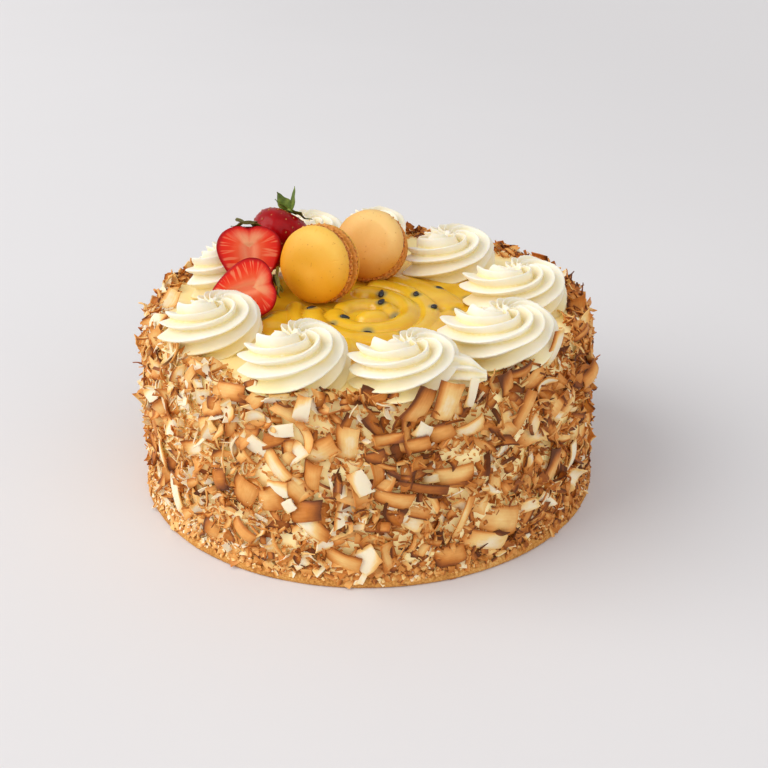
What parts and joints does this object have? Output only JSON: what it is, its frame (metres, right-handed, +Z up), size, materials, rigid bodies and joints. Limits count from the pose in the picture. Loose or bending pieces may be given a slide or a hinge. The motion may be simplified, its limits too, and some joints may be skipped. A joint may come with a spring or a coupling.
{
  "type": "passion fruit sponge cake",
  "caption": "Round cream-coated sponge cake with coconut shavings on its side and piped swirls, curd, macarons and strawberries on top.",
  "frame": {"origin": "middle of the underside of the base disc", "axes": "+Z up; -Y towards the side that is looked at; +X to the viewer's right"},
  "size_m": [0.24, 0.24, 0.1398],
  "materials": {
    "sponge": "matte",
    "coat": "matte",
    "cream": "satin",
    "curd": "gloss",
    "macaron": "matte",
    "filling": "satin",
    "berry": "gloss",
    "leaf": "matte"
  },
  "bodies": {
    "root": {"base_disc": "sponge", "cake_body": "coat", "swirl_1": "cream", "swirl_2": "cream", "swirl_3": "cream", "swirl_4": "cream", "swirl_5": "cream", "swirl_6": "cream", "swirl_7": "cream", "swirl_8": "cream", "swirl_9": "cream", "curd": "curd", "macaron_front_shell_a": "macaron", "macaron_front_filling": "filling", "macaron_front_shell_b": "macaron", "macaron_back_shell_a": "macaron", "macaron_back_filling": "filling", "macaron_back_shell_b": "macaron", "strawberry_upper": "berry", "strawberry_lower": "berry", "strawberry_back": "berry", "calyx_upper": "leaf", "calyx_lower": "leaf", "calyx_back": "leaf"}
  },
  "joints": []
}
